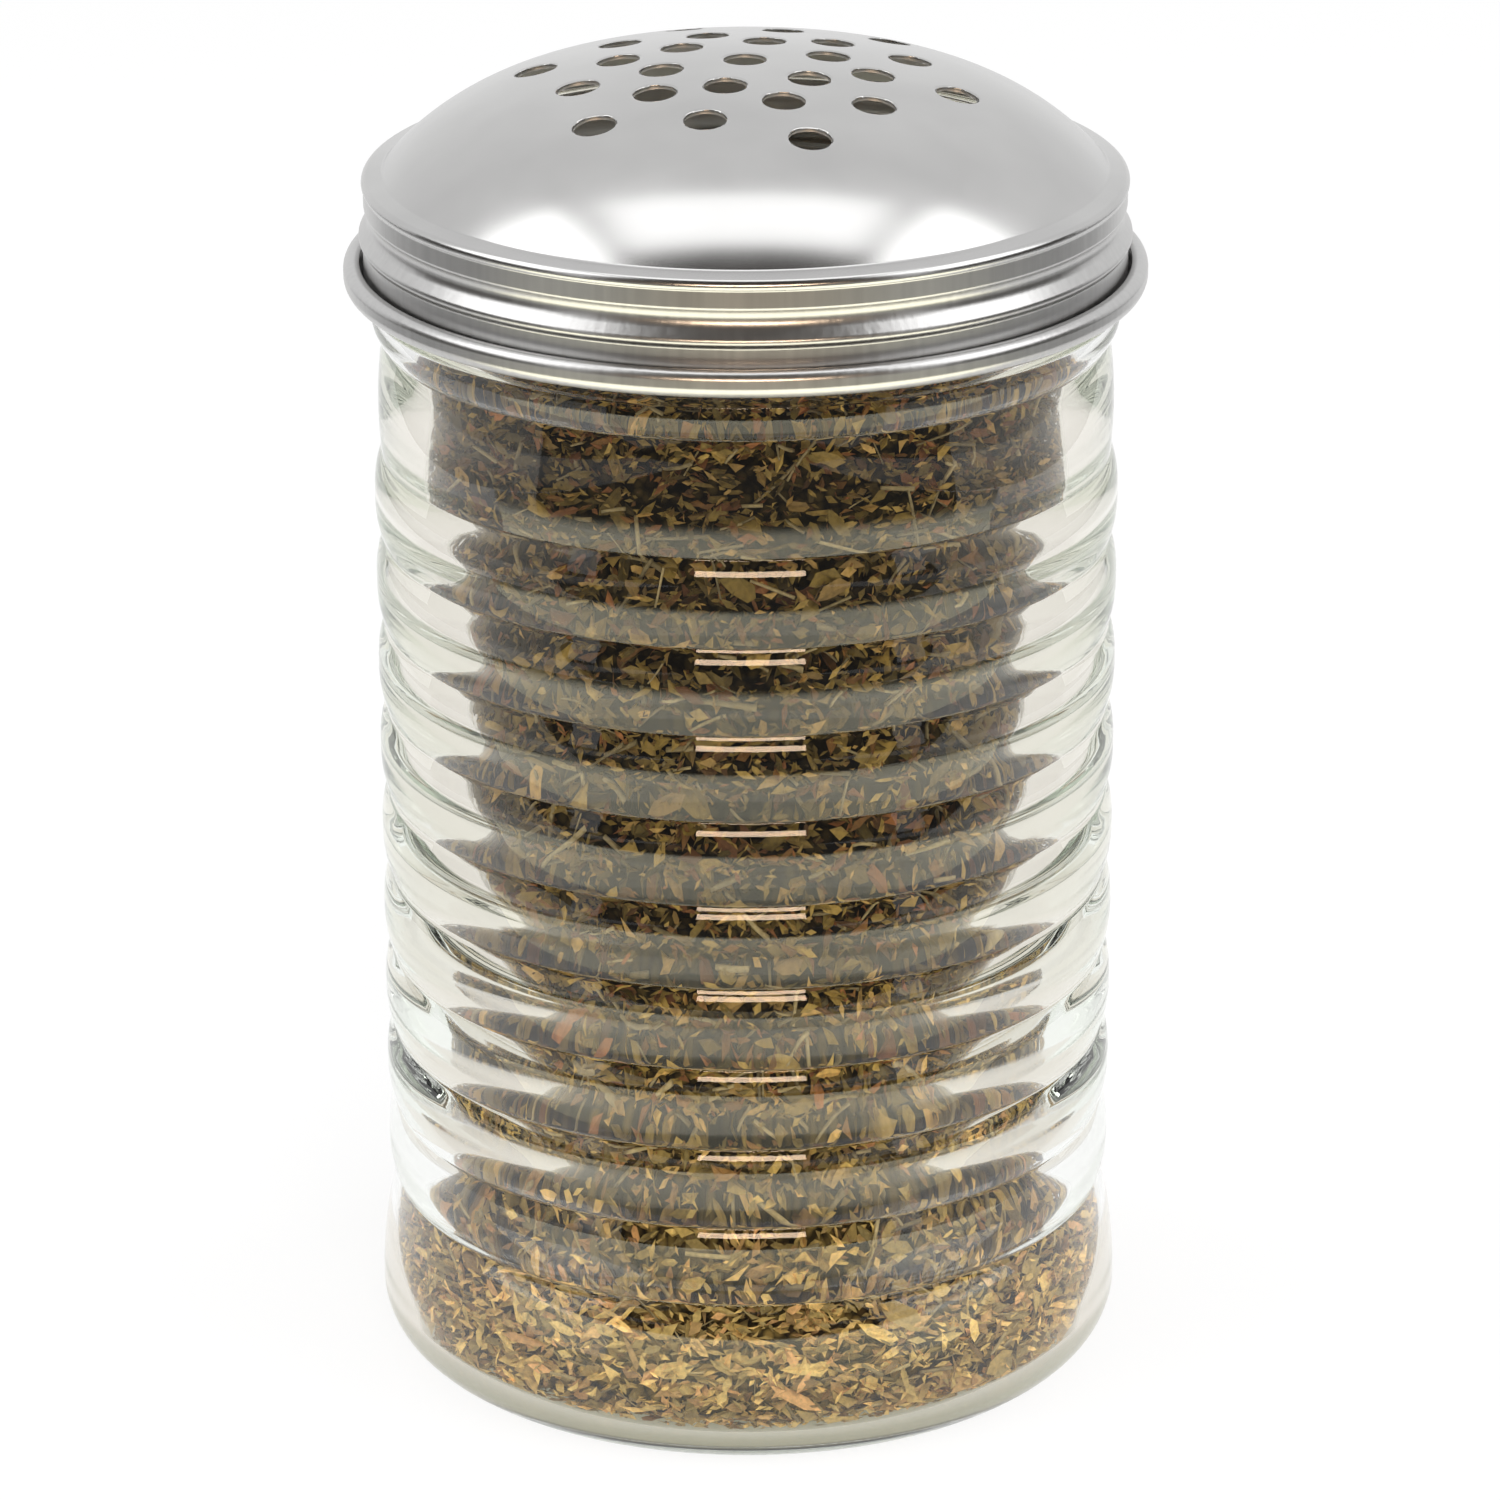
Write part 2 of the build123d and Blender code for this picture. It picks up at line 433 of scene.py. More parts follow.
def rib_echo(heights):
    """How far the inside wall lies out behind the ribs, or in behind the valleys."""
    ribs_up = np.interp(heights, valley_heights, range(rib_count + 1))
    low, high = valley_heights[0], valley_heights[-1]
    reach = at_height(heights, (
        (low, 0), (low + rib_echo_start, rib_echo_low), (high - rib_echo_start, rib_echo_high), (high, 0),
    ))
    return -reach * np.cos(2 * np.pi * ribs_up)


def jar_outside():
    """The glass from the middle of its foot to the foot of the neck."""
    ring_outer = base_radius - heel_radius
    ring_inner = ring_outer - standing_ring_width
    heel_end = base_radius + 1j * heel_radius
    waist = waist_radius + 1j * waist_height
    collar_foot = collar_radius + 1j * collar_start
    collar_top = collar_radius + 1j * collar_end
    neck_foot = neck_radius + 1j * neck_start
    valleys = [rib_valley_radius + 1j * height for height in valley_heights]
    runs = [
        leaving(1j * push_up, 1, ring_inner + 0j),
        straight(ring_inner + 0j, ring_outer + 0j),
        leaving(ring_outer + 0j, 1, heel_end),
        leaving(heel_end, 1j, valleys[0]),
    ]
    runs += [rib(low, high) for low, high in zip(valleys, valleys[1:])]
    runs += [
        bulged(valleys[-1], waist, shoulder_bulge),
        bulged(waist, collar_foot, flare_bulge),
        straight(collar_foot, collar_top),
        straight(collar_top, neck_foot),
        [neck_foot],
    ]
    return soften(np.concatenate(runs), soft_edge)


def jar_inside():
    """The cavity's wall from the rim down to the middle of the floor."""
    mouth = mouth_radius + 1j * rim_shoulder
    bore_end = mouth_radius + 1j * bore_foot
    top = wall_radius + 1j * wall_top
    wave = wave_radius + 1j * wave_height
    widest = foot_inside_radius + 1j * foot_inside_height
    corner_start = foot_inside_radius + 1j * (floor_thickness + inside_corner_radius)
    corner_end = foot_inside_radius - inside_corner_radius + 1j * floor_thickness
    wall = np.concatenate([
        straight(mouth, bore_end),
        s_curve(bore_end, top),
        s_curve(top, wave),
        s_curve(wave, widest),
        straight(widest, corner_start),
        leaving(corner_start, -1j, corner_end),
        straight(corner_end, 1j * floor_thickness),
        [1j * floor_thickness],
    ])
    return wall + rib_echo(wall.imag)


def add_thread(corners):
    """Raise a ridge that climbs round the neck."""
    flat = corners[:, 0] + 1j * corners[:, 1]
    radii = abs(flat)
    turn = (np.angle(flat) / (2 * np.pi)) % 1
    rise = np.zeros(len(corners))
    for lap in range(math.ceil(thread_turns)):
        along = turn + lap
        middle = neck_start + thread_start + thread_pitch * along
        fade = np.clip(np.minimum(along, thread_turns - along) / thread_runout, 0, 1)
        ridge = np.clip(1 - ((corners[:, 2] - middle) / (thread_width / 2)) ** 2, 0, 1)
        rise = np.maximum(rise, ridge * fade)
    on_neck = (radii > neck_radius - rim_round) & (corners[:, 2] > neck_start)
    grown = np.where(on_neck, 1 + thread_height * rise / np.maximum(radii, 1), 1)
    corners[:, :2] *= grown[:, None]


def make_jar(material):
    """The jar as one turned solid, with the thread raised on its neck."""
    neck = np.arange(neck_start + NECK_STEP, rim_shoulder, NECK_STEP) * 1j + neck_radius
    rim = arc(neck_radius + 1j * rim_shoulder, mouth_radius + 1j * rim_shoulder, math.pi)
    rim_and_inside = np.concatenate([rim, jar_inside()])
    outline = np.concatenate([thin_out(jar_outside()), neck, thin_out(rim_and_inside)])
    corners, faces = turned_solid(outline, TURNED_SEGMENTS)
    add_thread(corners)
    jar = new_piece("jar_glass", corners, faces, material, "jar")
    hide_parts("glass_jar")


def glass_material():
    """Clear glass, greenish where it is thick, that lets lamps and the herbs' own light pass."""
    material = bpy.data.materials.new("clear_glass")
    graph = Graph(material)
    glass = graph.nodes["Principled BSDF"]
    set_inputs(glass, {"Base Color": WHITE, "Roughness": 0.0, "IOR": glass_ior, "Transmission Weight": 1.0})
    path = graph.add("ShaderNodeLightPath")
    clear = graph.add("ShaderNodeBsdfTransparent", {"Color": (*glass_dimming, 1)})
    for_bounces = graph.add("ShaderNodeMixShader")
    for_lamps = graph.add("ShaderNodeMixShader")
    tint = graph.add("ShaderNodeVolumeAbsorption", {"Color": (*glass_tint, 1), "Density": glass_tint_density})
    output = graph.nodes["Material Output"]
    graph.link(path, "Is Diffuse Ray", for_bounces, "Fac")
    graph.link(glass, "BSDF", for_bounces, 1)
    graph.link(clear, "BSDF", for_bounces, 2)
    graph.link(path, "Is Shadow Ray", for_lamps, "Fac")
    graph.link(for_bounces, "Shader", for_lamps, 1)
    graph.link(clear, "BSDF", for_lamps, 2)
    graph.link(for_lamps, "Shader", output, "Surface")
    graph.link(tint, "Volume", output, "Volume")
    return material


def steel_material():
    """Satin stainless: a smoother dome with faint wear, a rougher skirt with fine upright streaks, and a
    paler inner face, painted light as if lit through the holes.
    """
    material = bpy.data.materials.new("stainless")
    graph = Graph(material)
    shader = graph.nodes["Principled BSDF"]
    set_inputs(shader, {"Metallic": 1.0})
    place = graph.add("ShaderNodeTexCoord")
    height = graph.add("ShaderNodeSeparateXYZ")
    drawn = graph.add("ShaderNodeMapRange", {
        "From Min": (lid_top - dome_finish_depth) * MM,
        "From Max": (lid_top - skirt_finish_depth) * MM,
    })
    graph.link(place, "Object", height, "Vector")
    graph.link(height, "Z", drawn, "Value")

    stretch = graph.add("ShaderNodeMapping", {"Scale": (1, 1, 0.04)})
    streaks = graph.add("ShaderNodeTexNoise", {"Scale": 1300.0, "Detail": 4.0})
    smudges = graph.add("ShaderNodeTexNoise", {"Scale": 90.0})
    finish = graph.add("ShaderNodeMix", data_type="FLOAT")
    graph.link(place, "Object", stretch, "Vector")
    graph.link(stretch, "Vector", streaks, "Vector")
    graph.link(place, "Object", smudges, "Vector")
    graph.link(drawn, "Result", finish, "Factor")
    graph.link(smudges, "Fac", finish, "A")
    graph.link(streaks, "Fac", finish, "B")

    inside = graph.add("ShaderNodeAttribute")
    inside.attribute_name = "inside"
    roughness = graph.add("ShaderNodeMapRange", {"To Min": dome_roughness, "To Max": skirt_roughness})
    wear = graph.add("ShaderNodeMath", {1: wear_roughness}, operation="MULTIPLY_ADD")
    matt = graph.add("ShaderNodeMath", {1: inside_matting}, operation="MULTIPLY_ADD")
    graph.link(drawn, "Result", roughness, "Value")
    graph.link(finish, "Result", wear, 0)
    graph.link(roughness, "Result", wear, 2)
    graph.link(inside, "Fac", matt, 0)
    graph.link(wear, "Value", matt, 2)
    graph.link(matt, "Value", shader, "Roughness")

    shade = graph.add("ShaderNodeMix", {"A": (*steel_dark, 1), "B": (*steel_bright, 1)}, data_type="RGBA")
    # painted light on the sheet's inner face
    painted_inside_light = graph.add("ShaderNodeMix", {"B": (*steel_inside_painted_light, 1)}, data_type="RGBA")
    graph.link(finish, "Result", shade, "Factor")
    graph.link(inside, "Fac", painted_inside_light, "Factor")
    graph.link(shade, "Result", painted_inside_light, "A")
    graph.link(painted_inside_light, "Result", shader, "Base Color")

    relief = graph.add("ShaderNodeMath", operation="MULTIPLY")
    bump = graph.add("ShaderNodeBump", {"Strength": 0.25, "Distance": 0.0001})
    graph.link(streaks, "Fac", relief, 0)
    graph.link(drawn, "Result", relief, 1)
    graph.link(relief, "Value", bump, "Height")
    graph.link(bump, "Normal", shader, "Normal")
    return material


class SheetWalk:
    """The outer face of the lid's sheet in section, with the way that each point faces.

    Headings are degrees from level, outwards. The metal lies on the right of the walk.
    """

    def __init__(self):
        self.here = 0j
        self.heading = 0.0
        self.points = [0j]
        self.faces_to = [1j]

    def step_to(self, point, heading):
        self.here, self.heading = point, heading
        self.points.append(point)
        self.faces_to.append(1j * np.exp(1j * math.radians(heading)))

    def run(self, length):
        self.step_to(self.here + length * np.exp(1j * math.radians(self.heading)), self.heading)

    def run_to_radius(self, radius):
        self.run((radius - self.here.real) / math.cos(math.radians(self.heading)))

    def run_to_height(self, height):
        self.run((height - self.here.imag) / math.sin(math.radians(self.heading)))

    def bend(self, radius, heading):
        side = 1 if heading > self.heading else -1
        centre = self.here + side * radius * self.faces_to[-1]
        start = self.heading
        turn = abs(math.radians(heading - start))
        count = math.ceil(max(turn / BEND_TURN, radius * turn / BEND_STEP))
        for index in range(1, count + 1):
            now = start + (heading - start) * index / count
            self.step_to(centre - side * radius * 1j * np.exp(1j * math.radians(now)), now)


def sideways(radius, heading):
    """How far out a bend of this radius carries the sheet until it points straight down."""
    return radius * (1 + math.sin(math.radians(heading)))


def lid_section():
    """Points of the lid's outer face from the top of the dome to the rolled lip, and their normals."""
    walk = SheetWalk()
    crown_slope = math.asin(dome_crown_reach / dome_crown_radius)
    knuckle_centre = (dome_crown_radius - dome_knuckle_radius) * math.sin(crown_slope)
    edge_slope = math.asin((dome_edge_radius - knuckle_centre) / dome_knuckle_radius)
    curl_bend = (curl_radius - skirt_radius - sheet) / 2
    walk.bend(dome_crown_radius, -math.degrees(crown_slope))
    walk.bend(dome_knuckle_radius, -math.degrees(edge_slope))
    walk.bend(crease_bend, -ledge_slope)
    walk.run_to_radius(bead_radius - sideways(bead_bend, walk.heading))
    walk.bend(bead_bend, -90 - bead_undercut)
    walk.bend(bead_crease_bend, -90)
    walk.run(bead_wall)
    walk.bend(groove_edge_bend, -90 - groove_slope)
    walk.bend(groove_bend, -90 + groove_slope)
    walk.run_to_radius(band_radius - sideways(band_edge_bend, walk.heading))
    walk.bend(band_edge_bend, -90 - step_slope)
    walk.run_to_radius(skirt_radius + sideways(step_bend, walk.heading))
    walk.bend(step_bend, -90)
    walk.run_to_height(sheet + curl_bend - lid_height)
    walk.bend(curl_bend, 90)
    walk.run(curl_wall)
    walk.bend(curl_lip_bend, 90 + curl_lip_turn)
    return np.array(walk.points) + 1j * lid_top, np.array(walk.faces_to)


def rolled_sheet(outer, facing):
    """Points and normals along a sheet's outer face, round its lip and back along its inner face."""
    lip = outer[-1] - facing[-1] * sheet / 2
    lip_ways = facing[-1] * np.exp(-1j * np.radians(LIP_TURNS))
    points = np.concatenate([outer, lip + lip_ways * sheet / 2, (outer - facing * sheet)[::-1]])
    return points, np.concatenate([facing, lip_ways, -facing[::-1]])


def hole_places():
    """Middles of the holes on the dome laid flat."""
    places = [0j]
    for ring in range(hole_rings):
        reach = hole_ring_spacing * (first_ring_at + ring)
        for index in range(holes_per_ring):
            turn = hole_pattern_turn + 360 / holes_per_ring * (index + ring / 2)
            places.append(reach * np.exp(1j * math.radians(turn)))
    return np.array(places)


holes = hole_places()
hole_radius = hole_diameter / 2


def nearest_hole(places):
    """The middle of the hole that lies nearest to each place on the flat dome."""
    return holes[abs(places[:, None] - holes).argmin(1)]


def disc_field():
    """Points that fill the pierced disc between its holes and its edge."""
    field = []
    for reach in np.arange(DISC_STEP, pierced_reach - DISC_MARGIN, DISC_STEP):
        count = max(6, round(2 * math.pi * reach))
        field.append(reach * np.exp(2j * np.pi * (np.arange(count) + reach % 2 / 2) / count))
    field = np.concatenate(field)
    return field[abs(field - nearest_hole(field)) > hole_radius + hole_lip + HOLE_MARGIN]


def pierced_disc():
    """Flat triangles of the pierced part of the dome: points, triangles, hole loops, outer loop."""
    circle = np.exp(2j * np.pi * np.arange(HOLE_POINTS) / HOLE_POINTS)
    loops = [pierced_reach * np.exp(2j * np.pi * np.arange(TURNED_SEGMENTS) / TURNED_SEGMENTS)]
    for lip_share in (0, 0.5, 1):
        loops += [hole + (hole_radius + hole_lip * lip_share) * circle for hole in holes]
    edges, loop_numbers, start = [], [], 0
    for loop in loops:
        numbers = start + np.arange(len(loop))
        edges += list(zip(numbers.tolist(), np.roll(numbers, -1).tolist()))
        loop_numbers.append(numbers)
        start += len(loop)
    flat = np.concatenate(loops + [disc_field()])
    given = [Vector((point.real, point.imag)) for point in flat]
    places, _, triangles, came_from, _, _ = delaunay_2d_cdt(given, edges, [], 0, TINY, True)
    renumbered = {old: new for new, olds in enumerate(came_from) for old in olds}
    places = np.array([complex(*place) for place in places])
    middles = places[np.array(triangles)].mean(1)
    outside_holes = abs(middles - nearest_hole(middles)) > hole_radius - HOLE_SLACK
    triangles = [tri for tri, kept in zip(triangles, outside_holes) if kept]
    outer_loop, *hole_loops = [
        np.array([renumbered[number] for number in numbers.tolist()])
        for numbers in loop_numbers[:1 + len(holes)]
    ]
    return places, triangles, hole_loops, outer_loop


def bent_disc(places, point, normal):
    """Corners and normals of the pierced disc on the dome, first its outer face and then its inner one."""
    span = abs(places)
    way = np.where(span > 0, places / np.maximum(span, TINY), 1)
    normal = normal / abs(normal)
    to_hole = nearest_hole(places) - places
    roll = np.clip(1 - (abs(to_hole) - hole_radius) / hole_lip, 0, 1)
    outer = point - normal * hole_lip_drop * roll ** 2
    inner = point - normal * sheet
    straight_out = in_space(normal.real * way, normal.imag)
    towards_hole = in_space(to_hole / np.maximum(abs(to_hole), TINY), np.zeros(len(places)))
    outer_normals = straight_out + towards_hole * (2 * hole_lip_drop / hole_lip * roll)[:, None]
    corners = [in_space(face.real * way, face.imag) for face in (outer, inner)]
    return np.concatenate(corners), np.concatenate([outer_normals, -straight_out])


def make_lid(material):
    """The lid as one sheet with two faces: a pierced disc in the middle and turned rings round it."""
    section, facing = lid_section()
    reach = np.concatenate([[0], np.cumsum(abs(np.diff(section)))])
    places, triangles, hole_loops, outer_loop = pierced_disc()
    count, span = len(places), abs(places)
    disc, disc_normals = bent_disc(places, np.interp(span, reach, section), np.interp(span, reach, facing))
    beyond = reach > pierced_reach + RING_GAP
    around, around_facing = rolled_sheet(section[beyond], facing[beyond])
    corners = np.concatenate([disc, turned(around, TURNED_SEGMENTS)])
    normals = np.concatenate([disc_normals, turned(around_facing, TURNED_SEGMENTS)])

    faces = [tuple(tri) for tri in triangles] + [tuple(count + i for i in tri[::-1]) for tri in triangles]
    rings = np.arange(2 * count, len(corners)).reshape(-1, TURNED_SEGMENTS)
    loops = [outer_loop, *rings, outer_loop + count]
    for inner, outer in zip(loops, loops[1:]):
        faces += ring_quads(outer, inner).tolist()
    walls_start = len(faces)
    for loop in hole_loops:
        faces += ring_quads(loop, loop + count).tolist()
    lid = new_piece("lid_steel", corners, faces, material, "lid")

    corner_numbers = [i for face in faces for i in face]
    loop_normals = normals[corner_numbers]
    first_wall = sum(len(face) for face in faces[:walls_start])
    wall_places = np.concatenate([places, places])[corner_numbers[first_wall:]]
    to_hole = nearest_hole(wall_places) - wall_places
    loop_normals[first_wall:] = in_space(to_hole / abs(to_hole), np.zeros(len(to_hole)))
    lid.data.normals_split_custom_set(unit(loop_normals).tolist())

    # corners on the sheet's inner face, which is rougher and carries painted light
    ring_inside = np.arange(len(around)) >= beyond.sum()
    on_inside = np.concatenate([np.zeros(count), np.ones(count), np.repeat(ring_inside, TURNED_SEGMENTS)])
    on_inside *= np.clip((corners[:, 2] - inside_from) / inside_fade, 0, 1)
    lid.data.attributes.new("inside", "FLOAT", "POINT").data.foreach_set("value", on_inside)
    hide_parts("shaker_lid")


def heap_outline():
    """The herbs' surface from the middle of the floor up the wall and over the heap."""
    wall = jar_inside()
    wall = wall[wall.imag < fill_height][::-1]
    way = np.gradient(wall)
    inner = wall + 1j * way / abs(way) * fill_clearance
    inner = np.maximum(inner.real, 0) + 1j * np.maximum(inner.imag, floor_thickness + fill_clearance)
    top = 1j * (fill_height + fill_mound)
    return np.concatenate([inner, leaving(top, 1, inner[-1])[::-1]])


heap = heap_outline()


def leaf_colours(random, heights):
    """A dried leaf's colour at each height, of a kind drawn by chance, with painted light and shade by
    height.
    """
    shares, colours = zip(*leaf_kinds)
    chosen = random.choice(len(leaf_kinds), len(heights), p=shares)
    by_height = at_height(heights, low_tone_shares)[:, None]
    tones = np.array(colours)[chosen] * (1 - by_height) + np.array(low_tone) * by_height
    # random tone of each leaf times the painted light and shade for its height
    shades = at_height(heights, leaf_painted_shade) * random.uniform(*leaf_shades, len(heights))
    return tones * shades[:, None]


def scattered(random, count, depth):
    """Places below the heap's surface, and which way the surface faces there."""
    way = np.gradient(heap)
    area = np.cumsum(heap.real * abs(way))
    index = np.searchsorted(area, random.uniform(0, area[-1], count))
    facing = -1j * way[index] / abs(way[index])
    place = heap[index] - facing * depth
    around = np.exp(1j * random.uniform(0, 2 * np.pi, count))
    spots = in_space(np.maximum(place.real, 0) * around, place.imag)
    return spots, in_space(facing.real * around, facing.imag)


def turned_axes(random, facing, tilt):
    """Three axes for each piece: along it, across it and its face, which leans from the surface's facing."""
    lean = np.tan(np.minimum(tilt, steepest_tilt))[:, None]
    face = unit(facing + lean * unit(random.normal(size=facing.shape)))
    along = unit(np.cross(face, random.normal(size=facing.shape) + (0, 0, settling)))
    return along, np.cross(face, along), face


def keep_in_jar(corners):
    """Press what sticks out of the cavity flat against the glass."""
    lowest = floor_thickness + fill_clearance
    wall = heap[(heap.real > wall_from) & (heap.imag < fill_height)]
    corners[:, 2] = np.maximum(corners[:, 2], lowest)
    most = np.interp(corners[:, 2], wall.imag, wall.real)
    radii = np.maximum(np.hypot(corners[:, 0], corners[:, 1]), TINY)
    corners[:, :2] *= np.minimum(1, most / radii)[:, None]


def tint_corners(piece, colours, each):
    """Give every scrap of a piece its own colour, this many corners at a time."""
    tint = piece.data.color_attributes.new("tint", "FLOAT_COLOR", "POINT")
    values = np.ones((len(colours), each, 4))
    values[..., :3] = colours[:, None]
    tint.data.foreach_set("color", values.ravel())


def make_flakes(name, material, seed, count, rim, usual_length, spread):
    """Thin closed flakes, each a bent leaf scrap with an uneven edge of this many corners."""
    random = np.random.default_rng(seed)
    spots, facing = scattered(random, count, flake_depth * random.power(flake_crowding, count))
    along, across, face = turned_axes(random, facing, abs(random.normal(0, flake_tilt, count)))
    length = np.clip(random.lognormal(math.log(usual_length), spread, count), *flake_lengths)
    length *= at_height(spots[:, 2], flake_sizes)
    width = length * random.uniform(*flake_widths, count)
    curl = random.normal(0, flake_curl, count)
    bow = random.normal(0, flake_bow, count)
    corners = np.empty((count, rim + 2, 3))
    for index in range(rim):
        angle = 2 * math.pi * index / rim
        u = 0.5 * length * math.cos(angle) * random.uniform(*flake_end_wobble, count)
        v = 0.5 * width * math.sin(angle) * random.uniform(*flake_side_wobble, count)
        lift = curl * v ** 2 / width * 4 + bow * u ** 2 / length * 4
        corners[:, index] = spots + along * u[:, None] + across * v[:, None] + face * lift[:, None]
    for index, side in ((rim, 1), (rim + 1, -1)):
        corners[:, index] = spots + face * side * flake_thickness / 2
    corners = corners.reshape(-1, 3)
    keep_in_jar(corners)
    fan = [(index, (index + 1) % rim, rim) for index in range(rim)]
    fan += [((index + 1) % rim, index, rim + 1) for index in range(rim)]
    faces = (np.array(fan)[None] + (np.arange(count) * (rim + 2))[:, None, None]).reshape(-1, 3)
    flakes = new_piece(name, corners, faces.tolist(), material, "jar")
    flakes.data.polygons.foreach_set("use_smooth", [False] * len(faces))
    tint_corners(flakes, leaf_colours(random, spots[:, 2]), rim + 2)
    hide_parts("herb_fill")


def make_stems(material):
    """Thin straw-coloured stalks among the leaves."""
    random = np.random.default_rng(STEM_SEED)
    spots, facing = scattered(random, stem_count, random.uniform(*stem_depths, stem_count))
    along, across, face = turned_axes(random, facing, abs(random.normal(0, stem_tilt, stem_count)))
    length = random.lognormal(math.log(stem_usual_length), stem_length_spread, stem_count)
    length = np.clip(length, *stem_lengths)
    radius = random.uniform(*stem_radii, stem_count)
    bend = random.normal(0, stem_bend, stem_count)
    corners = np.empty((stem_count, STEM_RINGS, STEM_SIDES, 3))
    for ring in range(STEM_RINGS):
        t = ring / (STEM_RINGS - 1) - 0.5
        middle = spots + along * (t * length)[:, None] + face * (bend * length * (t ** 2 * 4))[:, None]
        for side in range(STEM_SIDES):
            angle = 2 * math.pi * side / STEM_SIDES
            ray = across * math.cos(angle) + face * math.sin(angle)
            corners[:, ring, side] = middle + ray * (radius * (1 - stem_taper * t))[:, None]
    corners = corners.reshape(-1, 3)
    keep_in_jar(corners)
    each = STEM_RINGS * STEM_SIDES
    rings = np.arange(each).reshape(STEM_RINGS, STEM_SIDES)
    one_stem = shell_quads(rings) + [rings[0][::-1].tolist(), rings[-1].tolist()]
    faces = [[stem * each + i for i in face] for stem in range(stem_count) for face in one_stem]
    stems = new_piece("herb_stems", corners, faces, material, "jar")
    # random tone of each stem times the painted shade for its height
    shades = random.uniform(*straw_shades, stem_count) * at_height(spots[:, 2], straw_painted_shade)
    tint_corners(stems, np.array(straw) * shades[:, None], each)


def make_core(material):
    """The inside of the heap, painted dark for the shade there, which shows between the leaves."""
    way = np.gradient(heap)
    inner = heap + 1j * way / abs(way) * core_depth
    inner = np.maximum(inner.real, 0) + 1j * inner.imag
    outline = thin_out(inner[::CORE_STRIDE], reach=CORE_REACH)
    outline[0], outline[-1] = 1j * outline[0].imag, 1j * outline[-1].imag
    corners, faces = turned_solid(outline, CORE_SEGMENTS)
    random = np.random.default_rng(CORE_SEED)
    radii = np.maximum(np.hypot(corners[:, 0], corners[:, 1]), 1)
    corners[:, :2] *= (1 - random.uniform(0, core_roughness, len(corners)) / radii)[:, None]
    new_piece("herb_core", corners, faces, material, "jar")


def leaf_material():
    """Dull, mottled leaf in the colour of each flake."""
    material = bpy.data.materials.new("dried_leaf")
    graph = Graph(material)
    shader = graph.nodes["Principled BSDF"]
    set_inputs(shader, {"Roughness": 0.62, "Specular IOR Level": 0.15})
    tint = graph.add("ShaderNodeVertexColor")
    tint.layer_name = "tint"
    place = graph.add("ShaderNodeTexCoord")
    mottle = graph.add("ShaderNodeTexNoise", {"Scale": 2000.0, "Detail": 3.0})
    shade = graph.add("ShaderNodeMapRange", {"To Min": 0.4, "To Max": 1.6})
    mixed = graph.add("ShaderNodeVectorMath", operation="SCALE")
    bump = graph.add("ShaderNodeBump", {"Strength": 0.5, "Distance": 0.0002})
    graph.link(place, "Object", mottle, "Vector")
    graph.link(mottle, "Fac", shade, "Value")
    graph.link(tint, "Color", mixed, 0)
    graph.link(shade, "Result", mixed, "Scale")
    graph.link(mixed, "Vector", shader, "Base Color")
    graph.link(mottle, "Fac", bump, "Height")
    graph.link(bump, "Normal", shader, "Normal")
    return material


def dust_and_shade_material():
    """Crumbs deep in the heap: small cells of brown and olive painted dark for the shade deep in the heap,
    with painted black shade in the gaps, and painted light and shade that pales them low down and darkens
    them higher up.
    """
    material = bpy.data.materials.new("herb_dust_and_shade")
    graph = Graph(material)
    shader = graph.nodes["Principled BSDF"]
    set_inputs(shader, {"Roughness": 0.9, "Specular IOR Level": 0.0})
    place = graph.add("ShaderNodeTexCoord")
    height = graph.add("ShaderNodeSeparateXYZ")
    # painted light and shade by height: three times as bright at the floor, under half as bright from 60 mm
    # up
    by_height = graph.add("ShaderNodeMapRange", {"From Max": 0.06, "To Min": 3.0, "To Max": 0.45})
    crumbs = graph.add("ShaderNodeTexVoronoi", {"Scale": 1000.0})
    # painted shade: near black in the gaps between the crumb cells
    gap_shade = graph.add("ShaderNodeMapRange", {
        "From Min": 0.25, "From Max": 0.65, "To Min": 1.0, "To Max": 0.15,
    })
    painted_shade = graph.add("ShaderNodeMath", operation="MULTIPLY")
    kind = graph.add("ShaderNodeSeparateColor")
    # crumb colours, painted dark for the shade deep in the heap
    tone = graph.add("ShaderNodeMix", {
        "A": (0.035, 0.020, 0.006, 1), "B": (0.17, 0.112, 0.030, 1),
    }, data_type="RGBA")
    shaded = graph.add("ShaderNodeVectorMath", operation="SCALE")
    graph.link(place, "Object", height, "Vector")
    graph.link(height, "Z", by_height, "Value")
    graph.link(by_height, "Result", painted_shade, 0)
    graph.link(gap_shade, "Result", painted_shade, 1)
    graph.link(place, "Object", crumbs, "Vector")
    graph.link(crumbs, "Distance", gap_shade, "Value")
    graph.link(crumbs, "Color", kind, "Color")
    graph.link(kind, "Red", tone, "Factor")
    graph.link(tone, "Result", shaded, 0)
    graph.link(painted_shade, "Value", shaded, "Scale")
    graph.link(shaded, "Vector", shader, "Base Color")
    return material


def make_camera():
    """The camera in front of the jar, looking down at it."""
    data = bpy.data.cameras.new("camera")
    data.sensor_width = sensor_width
    data.lens = sensor_width * focal_pixels / frame_pixels
    camera = bpy.data.objects.new("camera", data)
    bpy.context.scene.collection.objects.link(camera)
    level = Matrix.Rotation(math.pi / 2 - camera_pitch, 4, "X")
    roll = Matrix.Rotation(camera_roll, 4, "Z")
    camera.matrix_world = Matrix.Translation(camera_place * MM) @ level @ roll
    bpy.context.scene.camera = camera


def seen_directly(graph):
    """1 for rays that show a surface to the camera, also by way of metal or glass, and 0 for light."""
    path = graph.add("ShaderNodeLightPath")
    on_metal = graph.add("ShaderNodeMath", operation="MAXIMUM")
    on_glass = graph.add("ShaderNodeMath", operation="MAXIMUM")
    graph.link(path, "Is Camera Ray", on_metal, 0)
    graph.link(path, "Is Glossy Ray", on_metal, 1)
    graph.link(on_metal, "Value", on_glass, 0)
    graph.link(path, "Is Transmission Ray", on_glass, 1)
    return on_glass


